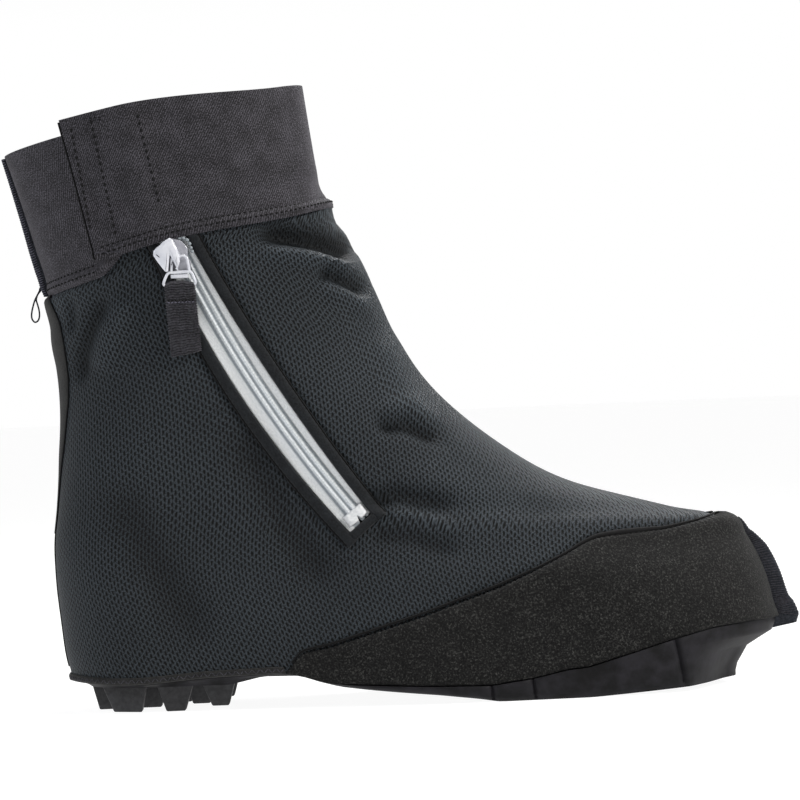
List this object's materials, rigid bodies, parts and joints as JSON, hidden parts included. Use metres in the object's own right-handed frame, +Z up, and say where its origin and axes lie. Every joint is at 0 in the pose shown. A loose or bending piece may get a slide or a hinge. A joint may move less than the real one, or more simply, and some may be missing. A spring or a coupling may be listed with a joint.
{
  "type": "winter overshoe",
  "caption": "Winter overshoe for the right foot: knitted cover with a diagonal side zip, wrapped elastic cuff, toe rand and lugged sole.",
  "frame": {"origin": "centre of the bounding box on the floor plane the shoe stands on", "axes": "+X from heel to toe, +Y towards the foot's inner side, +Z up from the floor"},
  "size_m": [0.3334, 0.113, 0.2633],
  "materials": {
    "knit": "matt black stretch knit",
    "elastic": "woven elastic",
    "sole": "matt",
    "felt": "matt",
    "rand": "coated neoprene, matt",
    "trim": "woven tape, matt",
    "overlock": "overlocked thread",
    "zip_cloth": "white woven tape",
    "nylon": "white nylon coil",
    "lacquer": "white lacquer, gloss",
    "webbing": "ribbed webbing"
  },
  "bodies": {
    "shoe": {"upper": "knit", "cuff_band": "elastic", "outsole": "sole", "insole": "felt", "toe_rand": "rand", "heel_hem": "trim", "back_tape": "trim", "back_seam": "overlock", "toe_seam": "overlock", "zip_welt": "trim", "zip_tape": "zip_cloth", "zip_coil": "nylon", "zip_stop": "nylon", "zip_slider": "lacquer"},
    "zip_pull": {"pull_ring": "lacquer", "pull_tab": "webbing"}
  },
  "joints": [
    {"name": "pull_swing", "type": "hinge", "parent": "shoe", "child": "zip_pull", "pos_m": [-0.08951, -0.04983, 0.19039], "axis": [-1, 0, 0], "range_deg": [0, 150]}
  ]
}
